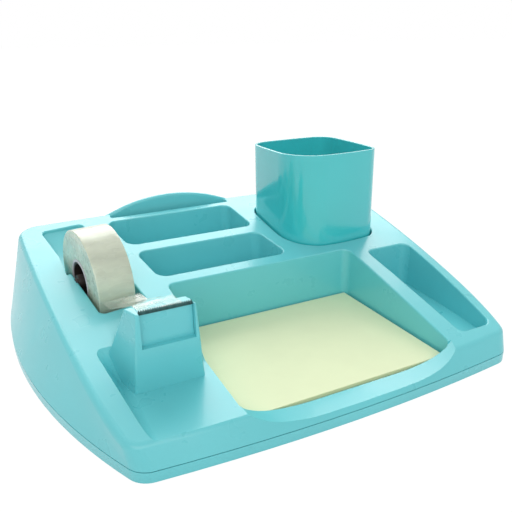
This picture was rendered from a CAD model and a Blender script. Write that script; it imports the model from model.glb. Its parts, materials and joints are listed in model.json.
"""Desk organizer with a tape dispenser: finishes, tape, paper, blade and the studio round it."""
import json
import math

import bmesh
import bpy
from mathutils import Matrix, Vector, noise


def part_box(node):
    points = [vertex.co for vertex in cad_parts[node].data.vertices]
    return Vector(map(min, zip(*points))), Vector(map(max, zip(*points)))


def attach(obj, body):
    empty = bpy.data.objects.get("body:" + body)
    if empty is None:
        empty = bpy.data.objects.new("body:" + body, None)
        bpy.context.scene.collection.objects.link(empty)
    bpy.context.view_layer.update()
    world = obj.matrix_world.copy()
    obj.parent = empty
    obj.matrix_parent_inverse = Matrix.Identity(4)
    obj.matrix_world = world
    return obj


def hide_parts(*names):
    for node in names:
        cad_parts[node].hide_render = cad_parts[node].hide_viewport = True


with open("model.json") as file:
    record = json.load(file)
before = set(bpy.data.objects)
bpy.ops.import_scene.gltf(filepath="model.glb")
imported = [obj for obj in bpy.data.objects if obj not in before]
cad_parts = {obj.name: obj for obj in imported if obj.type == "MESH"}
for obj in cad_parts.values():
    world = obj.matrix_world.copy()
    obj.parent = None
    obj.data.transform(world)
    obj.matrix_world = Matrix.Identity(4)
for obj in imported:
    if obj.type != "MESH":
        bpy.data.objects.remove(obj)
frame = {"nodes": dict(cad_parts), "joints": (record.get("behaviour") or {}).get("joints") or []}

bpy.context.view_layer.update()
NODES = frame["nodes"]
MM = 0.001


# ---- finishes -----------------------------------------------------------------------------------

HOUSING_TEAL = (0.14, 0.60, 0.645)
CUP_TEAL = (0.055, 0.57, 0.60)
HUB_BROWN = (0.032, 0.022, 0.020)
CORE_GREY = (0.62, 0.60, 0.64)
RUBBER_BLACK = (0.045, 0.045, 0.048)
SCREW_GREY = (0.55, 0.56, 0.58)
BLADE_DARK = (0.045, 0.10, 0.10)
WOUND_TAPE_CREAM = (0.60, 0.65, 0.52)
LOOSE_TAPE_CREAM = (0.78, 0.82, 0.70)
PAPER_GREEN = (0.80, 0.87, 0.58)

NOISE_SPAN = (0.3, 0.7)      # most of a noise's values lie between these
CREASE_SPAN = (0.35, 0.65)   # a narrower span, for harder edges between clear and milky film

# Noise scales: the larger, the finer.
CLOUD_SCALE = 14.0           # cloudiness across a whole moulding
GLOSS_SCALE = 55.0           # patches of more and less gloss
GRAIN_SCALE = 600.0          # moulded grain
PAPER_TINT_SCALE = 40.0
PAPER_FIBRE_SCALE = 2200.0
TAPE_TINT_SCALE = 90.0
TAPE_GLOSS_SCALE = 160.0
TAPE_WRINKLE_SCALE = 260.0
FILM_CREASE_SCALE = 110.0
STEEL_MARK_SCALE = 500.0

FILM_CLEAREST = 0.10         # cover of the loose film where it is flat
FILM_MILKIEST = 0.55         # and where it is creased


def new_material(name, colour, roughness):
    """Material with a Principled shader, ready for more nodes: (material, nodes, links, shader)."""
    made = bpy.data.materials.new(name)
    made.use_nodes = True
    nodes, links = made.node_tree.nodes, made.node_tree.links
    shader = nodes["Principled BSDF"]
    shader.inputs["Base Color"].default_value = (*colour, 1.0)
    shader.inputs["Roughness"].default_value = roughness
    return made, nodes, links, shader


def object_noise(nodes, links, scale, detail=3.0, stretch=(1.0, 1.0, 1.0), turn=0.0):
    """Noise over the object's own coordinates, stretched along turned axes."""
    place = nodes.new("ShaderNodeTexCoord")
    mapping = nodes.new("ShaderNodeMapping")
    mapping.inputs["Rotation"].default_value = (0.0, 0.0, turn)
    mapping.inputs["Scale"].default_value = stretch
    texture = nodes.new("ShaderNodeTexNoise")
    texture.inputs["Scale"].default_value = scale
    texture.inputs["Detail"].default_value = detail
    links.new(place.outputs["Object"], mapping.inputs["Vector"])
    links.new(mapping.outputs["Vector"], texture.inputs["Vector"])
    return texture.outputs["Fac"]


def vary_colour(nodes, links, shader, share, colour, amount):
    """The base colour runs between a darker and a lighter shade of one colour."""
    ramp = nodes.new("ShaderNodeValToRGB")
    dark, light = ramp.color_ramp.elements
    dark.position, light.position = NOISE_SPAN
    dark.color = (*[channel * (1 - amount) for channel in colour], 1.0)
    light.color = (*[min(channel * (1 + amount), 1.0) for channel in colour], 1.0)
    links.new(share, ramp.inputs["Fac"])
    links.new(ramp.outputs["Color"], shader.inputs["Base Color"])


def map_noise(nodes, links, share, span, low, high):
    """A noise's values within the span, turned into values from low to high."""
    spread = nodes.new("ShaderNodeMapRange")
    spread.inputs["From Min"].default_value, spread.inputs["From Max"].default_value = span
    spread.inputs["To Min"].default_value = low
    spread.inputs["To Max"].default_value = high
    links.new(share, spread.inputs["Value"])
    return spread.outputs["Result"]


def vary_roughness(nodes, links, shader, share, low, high):
    """The gloss is uneven: the roughness runs from low to high."""
    links.new(map_noise(nodes, links, share, NOISE_SPAN, low, high), shader.inputs["Roughness"])


def add_bump(nodes, links, shader, height, depth, strength):
    """Relief of this depth in metres, without a change of shape."""
    bump = nodes.new("ShaderNodeBump")
    bump.inputs["Strength"].default_value = strength
    bump.inputs["Distance"].default_value = depth
    links.new(height, bump.inputs["Height"])
    links.new(bump.outputs["Normal"], shader.inputs["Normal"])


def add_coat(shader, weight, roughness):
    """Clear glossy skin over the surface."""
    shader.inputs["Coat Weight"].default_value = weight
    shader.inputs["Coat Roughness"].default_value = roughness


def moulded_plastic(name, colour, roughness, grain, coat=0.0):
    """Plastic with a faint cloudiness, uneven gloss and a fine moulded grain of this depth."""
    made, nodes, links, shader = new_material(name, colour, roughness)
    vary_colour(nodes, links, shader, object_noise(nodes, links, CLOUD_SCALE), colour, amount=0.035)
    vary_roughness(nodes, links, shader, object_noise(nodes, links, GLOSS_SCALE),
                   low=roughness - 0.04, high=roughness + 0.05)
    add_bump(nodes, links, shader, object_noise(nodes, links, GRAIN_SCALE, detail=1.0), grain, strength=0.3)
    add_coat(shader, coat, roughness=0.08)
    return made


def sheet_paper():
    """Soft coloured paper with a fine fibrous tooth."""
    made, nodes, links, shader = new_material("note_paper", PAPER_GREEN, roughness=0.85)
    vary_colour(nodes, links, shader, object_noise(nodes, links, PAPER_TINT_SCALE), PAPER_GREEN, amount=0.02)
    add_bump(nodes, links, shader, object_noise(nodes, links, PAPER_FIBRE_SCALE, detail=4.0),
             depth=0.03 * MM, strength=0.5)
    shader.inputs["Specular IOR Level"].default_value = 0.25
    return made


def tape_film(turn):
    """Wound film: cloudy, glossy and slightly see-through at its surface. Turn is the roll's skew."""
    made, nodes, links, shader = new_material("wound_tape_film", WOUND_TAPE_CREAM, roughness=0.28)
    along_axle = (0.35, 1.0, 1.0)
    tint = object_noise(nodes, links, TAPE_TINT_SCALE, 5.0, along_axle, turn)
    gloss = object_noise(nodes, links, TAPE_GLOSS_SCALE, 3.0, along_axle, turn)
    wrinkles = object_noise(nodes, links, TAPE_WRINKLE_SCALE, 3.0, along_axle, turn)
    vary_colour(nodes, links, shader, tint, WOUND_TAPE_CREAM, amount=0.16)
    vary_roughness(nodes, links, shader, gloss, low=0.16, high=0.42)
    add_bump(nodes, links, shader, wrinkles, depth=0.15 * MM, strength=0.8)
    shader.inputs["Subsurface Weight"].default_value = 0.3
    shader.inputs["Subsurface Radius"].default_value = (1.0, 1.0, 0.7)
    shader.inputs["Subsurface Scale"].default_value = 3.0 * MM
    add_coat(shader, weight=0.5, roughness=0.12)
    return made


def clear_film(turn):
    """Loose film: mostly see-through, milky where it is creased. Turn is the roll's skew."""
    made, nodes, links, shader = new_material("loose_tape_film", LOOSE_TAPE_CREAM, roughness=0.22)
    creases = object_noise(nodes, links, FILM_CREASE_SCALE, 3.0, stretch=(0.4, 1.0, 1.0), turn=turn)
    add_bump(nodes, links, shader, creases, depth=0.4 * MM, strength=0.8)
    cover = map_noise(nodes, links, creases, CREASE_SPAN, FILM_CLEAREST, FILM_MILKIEST)
    links.new(cover, shader.inputs["Alpha"])
    add_coat(shader, weight=0.6, roughness=0.08)
    return made


def worked_steel(name, colour, roughness, stretch):
    """Steel with fine grinding marks along one direction."""
    made, nodes, links, shader = new_material(name, colour, roughness)
    shader.inputs["Metallic"].default_value = 1.0
    marks = object_noise(nodes, links, STEEL_MARK_SCALE, 4.0, stretch)
    vary_colour(nodes, links, shader, marks, colour, amount=0.35)
    vary_roughness(nodes, links, shader, marks, low=roughness - 0.1, high=roughness + 0.15)
    add_bump(nodes, links, shader, marks, depth=0.05 * MM, strength=0.6)
    return made


def dull_material(name, colour, roughness, scale, depth):
    """Rubber or card: matt, mottled and slightly rough."""
    made, nodes, links, shader = new_material(name, colour, roughness)
    vary_colour(nodes, links, shader, object_noise(nodes, links, scale / 4), colour, amount=0.12)
    add_bump(nodes, links, shader, object_noise(nodes, links, scale, detail=4.0), depth, strength=0.7)
    return made


def give(material, *names):
    """The CAD nodes with these names get the material."""
    for name in names:
        for slot in NODES[name].material_slots:
            slot.material = material


# ---- building pieces ----------------------------------------------------------------------------

def add_object(name, data):
    """Object at the origin for this mesh, lamp or camera."""
    made = bpy.data.objects.new(name, data)
    bpy.context.scene.collection.objects.link(made)
    return made


def smooth_piece(name, mesh, material):
    """Object for a finished mesh, shaded smooth."""
    mesh.materials.append(material)
    for face in mesh.polygons:
        face.use_smooth = True
    return add_object(name, mesh)


def baked_copy(source, name):
    """The source with its modifiers applied, as a plain mesh piece; the source goes."""
    bpy.context.view_layer.update()
    depsgraph = bpy.context.evaluated_depsgraph_get()
    mesh = bpy.data.meshes.new_from_object(source.evaluated_get(depsgraph), preserve_all_data_layers=True,
                                           depsgraph=depsgraph)
    bpy.data.objects.remove(source)
    return add_object(name, mesh)


def row_of_copies(name, material, keep_source):
    """Node group that lays copies of its input mesh in a row, each a little out of place.

    Inputs: Count, Start, Step, Spread, Turn, Seed, and Copy, the mesh to repeat. With keep_source the
    object's own mesh stays as well.
    """
    group = bpy.data.node_groups.new(name, "GeometryNodeTree")
    sockets = {}

    for label, kind in (("Geometry", "Geometry"), ("Copy", "Object"), ("Count", "Int"), ("Start", "Vector"),
                        ("Step", "Vector"), ("Spread", "Vector"), ("Turn", "Vector"), ("Seed", "Int")):
        socket = group.interface.new_socket(name=label, in_out="INPUT", socket_type="NodeSocket" + kind)
        sockets[label] = socket.identifier
    group.interface.new_socket(name="Geometry", in_out="OUTPUT", socket_type="NodeSocketGeometry")
    nodes, links = group.nodes, group.links
    start, end = nodes.new("NodeGroupInput"), nodes.new("NodeGroupOutput")
    line = nodes.new("GeometryNodeMeshLine")
    links.new(start.outputs["Count"], line.inputs["Count"])
    links.new(start.outputs["Start"], line.inputs["Start Location"])
    links.new(start.outputs["Step"], line.inputs["Offset"])

    def random_vector(reach):
        """One vector for each copy, in each direction within the input called reach."""
        draw = nodes.new("FunctionNodeRandomValue")
        draw.data_type = "FLOAT_VECTOR"
        flip = nodes.new("ShaderNodeVectorMath")
        flip.operation = "SCALE"
        flip.inputs["Scale"].default_value = -1.0
        links.new(start.outputs[reach], flip.inputs[0])
        links.new(flip.outputs["Vector"], draw.inputs["Min"])
        links.new(start.outputs[reach], draw.inputs["Max"])
        links.new(start.outputs["Seed"], draw.inputs["Seed"])
        return draw.outputs["Value"]

    shift = nodes.new("GeometryNodeSetPosition")
    links.new(line.outputs["Mesh"], shift.inputs["Geometry"])
    links.new(random_vector("Spread"), shift.inputs["Offset"])
    source = nodes.new("GeometryNodeObjectInfo")
    links.new(start.outputs["Copy"], source.inputs["Object"])
    copies = nodes.new("GeometryNodeInstanceOnPoints")
    links.new(shift.outputs["Geometry"], copies.inputs["Points"])
    links.new(source.outputs["Geometry"], copies.inputs["Instance"])
    links.new(random_vector("Turn"), copies.inputs["Rotation"])
    joined = nodes.new("GeometryNodeJoinGeometry")
    links.new(copies.outputs["Instances"], joined.inputs["Geometry"])
    if keep_source:
        links.new(start.outputs["Geometry"], joined.inputs["Geometry"])
    real = nodes.new("GeometryNodeRealizeInstances")
    links.new(joined.outputs["Geometry"], real.inputs["Geometry"])
    paint = nodes.new("GeometryNodeSetMaterial")
    paint.inputs["Material"].default_value = material
    links.new(real.outputs["Geometry"], paint.inputs["Geometry"])
    links.new(paint.outputs["Geometry"], end.inputs["Geometry"])
    return group, sockets


def repeat(name, base_mesh, copy_mesh, material, values, keep_source):
    """Piece made of a row of copies; values sets the node group's inputs by name."""
    group, sockets = row_of_copies(name + "_row", material, keep_source)
    copied = add_object(name + "_copied", copy_mesh)
    base = add_object(name + "_base", base_mesh)
    modifier = base.modifiers.new("row", "NODES")
    modifier.node_group = group
    modifier[sockets["Copy"]] = copied
    for label, value in values.items():
        modifier[sockets[label]] = value
    piece = baked_copy(base, name)
    bpy.data.objects.remove(copied)
    return piece


def finished_mesh(name, shape):
    """Plain mesh of an edited shape; the shape goes."""
    mesh = bpy.data.meshes.new(name)
    shape.to_mesh(mesh)
    shape.free()
    return mesh


def bevelled_box(name, size, bevel, segments=2):
    """Mesh of a box round the origin with rounded edges."""
    shape = bmesh.new()
    bmesh.ops.create_cube(shape, size=1.0, matrix=Matrix.Diagonal((*size, 1.0)))
    bmesh.ops.bevel(shape, geom=shape.edges[:], offset=bevel, segments=segments, affect="EDGES", profile=0.5)
    return finished_mesh(name, shape)


# ---- the loaded supplies ------------------------------------------------------------------------

SHEET_COUNT = 27
SHEET_SPREAD = 0.22 * MM
SHEET_TURN = math.radians(0.08)
SHEET_MARGIN = 0.3 * MM      # a sheet is this much smaller than the CAD stack at each edge
SHEET_FILL = 0.82            # share of the pitch that is paper; the rest is the gap to the next sheet
SHEET_EDGE = 0.2             # bevel of a sheet's edges, as a share of the pitch
SHEET_SEED = 4


def add_sheets(material):
    """Loose stack of note sheets, none quite in line with the next."""
    low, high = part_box("note_sheets")
    length, depth, stack = (high[i] - low[i] for i in range(3))
    pitch = stack / SHEET_COUNT
    sheet_size = (length - 2 * SHEET_MARGIN, depth - 2 * SHEET_MARGIN, pitch * SHEET_FILL)
    sheet = bevelled_box("sheet", sheet_size, pitch * SHEET_EDGE, segments=1)
    lowest = ((low[0] + high[0]) / 2, (low[1] + high[1]) / 2, low[2] + pitch / 2)
    values = {"Count": SHEET_COUNT, "Start": lowest, "Step": (0.0, 0.0, pitch),
              "Spread": (SHEET_SPREAD, SHEET_SPREAD, 0.0), "Turn": (0.0, 0.0, SHEET_TURN), "Seed": SHEET_SEED}
    nothing = bpy.data.meshes.new("no_sheets")
    piece = repeat("note_sheet_stack", nothing, sheet, material, values, keep_source=False)
    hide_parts("note_sheets")
    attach(piece, "notes")


BLADE_TOOTH_COUNT = 24
BLADE_TOOTH_SHARE = 0.5      # of the shown blade's height
BLADE_SHOWN = 0.6            # share of the CAD blade's height, from its top
BLADE_EDGE = 0.15            # bevel of the plate's edges, as a share of its thickness
TOOTH_TIP = 0.4              # a tooth's tip runs from the rear face to this share of the way from the middle
BLADE_SEED = 1               # has no effect, because the teeth stand exactly in line


def add_blade(material):
    """Thin blade with a row of ground teeth along its top edge."""
    low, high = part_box("cutter_blade")
    width, thick, height = (high[i] - low[i] for i in range(3))
    height *= BLADE_SHOWN
    bottom = high[2] - height
    middle_x, middle_y = (low[0] + high[0]) / 2, (low[1] + high[1]) / 2
    tooth_height = height * BLADE_TOOTH_SHARE
    plate_height = height - tooth_height
    plate = bevelled_box("blade_plate", (width, thick, plate_height), thick * BLADE_EDGE)
    plate.transform(Matrix.Translation((middle_x, middle_y, bottom + plate_height / 2)))
    pitch = width / BLADE_TOOTH_COUNT
    half, front, rear = pitch / 2, -thick / 2, thick / 2
    corners = [(-half, front, 0.0), (half, front, 0.0), (half, rear, 0.0), (-half, rear, 0.0),
               (0.0, rear, tooth_height), (0.0, rear * TOOTH_TIP, tooth_height)]
    faces = [(0, 1, 5), (1, 2, 4, 5), (2, 3, 4), (3, 0, 5, 4), (3, 2, 1, 0)]
    tooth = bpy.data.meshes.new("tooth")
    tooth.from_pydata(corners, [], faces)
    in_line = (0.0, 0.0, 0.0)
    values = {"Count": BLADE_TOOTH_COUNT, "Start": (low[0] + half, middle_y, high[2] - tooth_height),
              "Step": (pitch, 0.0, 0.0), "Spread": in_line, "Turn": in_line, "Seed": BLADE_SEED}
    piece = repeat("toothed_blade", plate, tooth, material, values, keep_source=True)
    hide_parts("cutter_blade")
    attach(piece, "body")


TAPE_SEGMENTS = 288
WINDING = 0.4 * MM           # one visible step between windings on the roll's sides
WINDING_SHIFT = 0.22 * MM    # the most that a winding stands back from the roll's side
WINDING_WAVES = 0.37         # steps through the noise for each winding
SIDE_OFFSET = 3.7            # keeps the noise of the two sides apart
WRINKLE = 0.16 * MM          # depth of the creases in the outer layer
WRINKLES_ROUND = 2.2         # radius of the circle that one turn of the roll makes through the noise
WRINKLES_ACROSS = 0.28       # steps through the noise for each millimetre of the roll's width
TREAD_LINES = 14
ROLL_EDGE = 0.5 * MM         # width of the rounded edge between side and outer layer
EDGE_DROP = 0.4              # share of ROLL_EDGE by which the edge's point lies lower than the outer layer
EDGE_IN = 0.1                # and by which it stands in from the side


def tape_axis():
    """Middle of the roll and unit vector along its axle, from the joint that turns it."""
    joint = next(item for item in frame["joints"] if item["name"] == "tape_spin")
    low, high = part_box("tape_roll")
    return (Vector(low) + Vector(high)) / 2, Vector(joint["axis"]).normalized()


def side_shift(radius, side):
    """How far the winding at this radius stands back from the roll's side, -1 or 1."""
    place = Vector((radius / WINDING * WINDING_WAVES, SIDE_OFFSET * side, 0.5))
    return WINDING_SHIFT * (0.5 + 0.5 * noise.noise(place))


def wrinkle_depth(angle, along):
    """How deep the outer layer is creased at this angle and place along the axle."""
    place = Vector((math.cos(angle) * WRINKLES_ROUND, math.sin(angle) * WRINKLES_ROUND,
                    along / MM * WRINKLES_ACROSS))
    return WRINKLE * (0.5 + 0.5 * noise.noise(place))


def roll_profile(half, inner, outer):
    """Section of the roll, side to side: (place along the axle, radius, whether the outer layer)."""
    steps = int((outer - inner) / WINDING)
    radii = [inner + (outer - inner) * i / steps for i in range(steps)]
    edge = outer - ROLL_EDGE * EDGE_DROP
    tread = 2 * half - 2 * ROLL_EDGE
    profile = [(-half + side_shift(radius, -1), radius, False) for radius in radii]
    profile.append((-half + side_shift(outer, -1) + ROLL_EDGE * EDGE_IN, edge, False))
    profile += [(-half + ROLL_EDGE + tread * i / TREAD_LINES, outer, True) for i in range(TREAD_LINES + 1)]
    profile.append((half - side_shift(outer, 1) - ROLL_EDGE * EDGE_IN, edge, False))
    profile += [(half - side_shift(radius, 1), radius, False) for radius in reversed(radii)]
    return profile


def add_roll(material):
    """Wound roll of tape: stepped windings on its sides and a wrinkled outer layer."""
    middle, axle = tape_axis()
    low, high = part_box("tape_roll")
    core_low, core_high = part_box("tape_core")
    outer = (high[2] - low[2]) / 2
    inner = (core_high[2] - core_low[2]) / 2
    half = ((high[0] - low[0]) - 2 * outer * abs(axle.y)) / abs(axle.x) / 2
    up = Vector((0.0, 0.0, 1.0))
    ahead = up.cross(axle).normalized()
    shape = bmesh.new()
    rings = []
    for along, radius, on_tread in roll_profile(half, inner, outer):
        ring = []
        for k in range(TAPE_SEGMENTS):
            angle = 2 * math.pi * k / TAPE_SEGMENTS
            out = ahead * math.cos(angle) + up * math.sin(angle)
            reach = radius - wrinkle_depth(angle, along) if on_tread else radius
            ring.append(shape.verts.new(middle + axle * along + out * reach))
        rings.append(ring)
    rings.append(rings[0])
    for first, second in zip(rings, rings[1:]):
        for k in range(TAPE_SEGMENTS):
            after = (k + 1) % TAPE_SEGMENTS
            shape.faces.new((first[k], first[after], second[after], second[k]))
    bmesh.ops.recalc_face_normals(shape, faces=shape.faces[:])
    piece = smooth_piece("wound_tape", finished_mesh("wound_tape", shape), material)
    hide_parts("tape_roll")
    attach(piece, "tape_wheel")


# ---- camera, lamps and floor --------------------------------------------------------------------

CAMERA_PLACE = (-0.1602, -0.3275, 0.1917)
CAMERA_YAW = 26.22           # degrees towards +X
CAMERA_DOWN = 20.72          # degrees below the horizon
CAMERA_ROLL = -0.95          # degrees
FOCAL_LENGTH = 40.06         # millimetres
SENSOR_WIDTH = 36.0


def add_camera():
    data = bpy.data.cameras.new("camera")
    data.lens = FOCAL_LENGTH
    data.sensor_width = SENSOR_WIDTH
    camera = add_object("camera", data)
    turn = (Matrix.Rotation(math.radians(-CAMERA_YAW), 4, "Z")
            @ Matrix.Rotation(math.radians(90 - CAMERA_DOWN), 4, "X")
            @ Matrix.Rotation(math.radians(CAMERA_ROLL), 4, "Z"))
    camera.matrix_world = Matrix.Translation(CAMERA_PLACE) @ turn
    bpy.context.scene.camera = camera


LAMPS = (                    # name, place, aim, size of the panel in metres, watts
    ("overhead_softbox", (-0.25, 0.15, 1.5), (0.0, 0.0, 0.0), (1.6, 1.6), 2.5),
    ("rear_softbox", (0.35, 1.25, 1.1), (0.0, 0.0, 0.0), (2.0, 1.3), 24.0),
    ("front_softbox", (-0.5, -1.4, 0.9), (0.0, 0.0, 0.05), (1.6, 1.0), 9.0),
)


def add_area_lamp(name, place, aim, size, power):
    data = bpy.data.lights.new(name, "AREA")
    data.shape = "RECTANGLE"
    data.size, data.size_y = size
    data.energy = power
    lamp = add_object(name, data)
    lamp.location = place
    lamp.rotation_mode = "QUATERNION"
    lamp.rotation_quaternion = (Vector(aim) - Vector(place)).to_track_quat("-Z", "Y")


AMBIENT = 0.52               # light from all round
BACKDROP = 1.0               # brightness of what the lens and reflections see
FLOOR_COVER = 0.93           # share of the floor seen as backdrop; the rest shows soft shadows
FLOOR_GLOW = 1.06            # brightness of that backdrop
FLOOR_WHITE = (0.93, 0.93, 0.93)
FLOOR_REACH = 30.0           # metres from the middle to each side


def seen_directly(nodes, links):
    """1 for rays from the lens, reflections and see-through film, else 0."""
    path = nodes.new("ShaderNodeLightPath")
    total = path.outputs["Is Camera Ray"]
    for ray in ("Is Glossy Ray", "Is Transmission Ray"):
        larger = nodes.new("ShaderNodeMath")
        larger.operation = "MAXIMUM"
        links.new(total, larger.inputs[0])
        links.new(path.outputs[ray], larger.inputs[1])
        total = larger.outputs[0]
    return total


def add_world():
    world = bpy.data.worlds.new("studio")
    bpy.context.scene.world = world
    world.use_nodes = True
    nodes, links = world.node_tree.nodes, world.node_tree.links
    background = nodes["Background"]
    background.inputs["Color"].default_value = (1.0, 1.0, 1.0, 1.0)
    strength = nodes.new("ShaderNodeMapRange")
    strength.inputs["To Min"].default_value = AMBIENT
    strength.inputs["To Max"].default_value = BACKDROP
    links.new(seen_directly(nodes, links), strength.inputs["Value"])
    links.new(strength.outputs["Result"], background.inputs["Strength"])


def add_floor():
    """Wide pale floor that runs into the white backdrop."""
    mesh = bpy.data.meshes.new("floor")
    corners = [(x * FLOOR_REACH, y * FLOOR_REACH, 0.0) for x, y in ((-1, -1), (1, -1), (1, 1), (-1, 1))]
    mesh.from_pydata(corners, [], [(0, 1, 2, 3)])
    finish, nodes, links, shader = new_material("floor_white", FLOOR_WHITE, roughness=0.9)
    shader.inputs["Specular IOR Level"].default_value = 0.1
    glow = nodes.new("ShaderNodeEmission")
    glow.inputs["Strength"].default_value = FLOOR_GLOW
    cover = nodes.new("ShaderNodeMath")
    cover.operation = "MULTIPLY"
    cover.inputs[1].default_value = FLOOR_COVER
    links.new(seen_directly(nodes, links), cover.inputs[0])
    mix = nodes.new("ShaderNodeMixShader")
    links.new(cover.outputs[0], mix.inputs["Fac"])
    links.new(shader.outputs["BSDF"], mix.inputs[1])
    links.new(glow.outputs["Emission"], mix.inputs[2])
    links.new(mix.outputs["Shader"], nodes["Material Output"].inputs["Surface"])
    smooth_piece("floor", mesh, finish)


# ---- putting it together ------------------------------------------------------------------------

roll_skew = math.atan2(tape_axis()[1].y, tape_axis()[1].x)

give(moulded_plastic("housing_plastic", HOUSING_TEAL, roughness=0.30, grain=0.015 * MM, coat=0.2),
     "upper_housing", "base_plate", "blade_holder")
give(moulded_plastic("cup_plastic", CUP_TEAL, roughness=0.14, grain=0.004 * MM, coat=0.6), "pen_cup")
give(moulded_plastic("hub_plastic", HUB_BROWN, roughness=0.45, grain=0.02 * MM), "tape_hub", "spindle_pin")
give(dull_material("core_card", CORE_GREY, roughness=0.75, scale=700.0, depth=0.03 * MM), "tape_core")
give(dull_material("foot_rubber", RUBBER_BLACK, roughness=0.85, scale=900.0, depth=0.05 * MM),
     "foot_front_left", "foot_front_right", "foot_rear_left", "foot_rear_right")
give(worked_steel("screw_steel", SCREW_GREY, roughness=0.32, stretch=(1.0, 0.2, 1.0)), "housing_screws")
give(clear_film(-roll_skew), "tape_tail")
add_roll(tape_film(-roll_skew))
add_sheets(sheet_paper())
add_blade(worked_steel("blade_steel", BLADE_DARK, roughness=0.42, stretch=(1.0, 1.0, 0.12)))
add_camera()
for lamp in LAMPS:
    add_area_lamp(*lamp)
add_world()
add_floor()
bpy.context.scene.view_settings.view_transform = "Standard"

bpy.context.view_layer.update()
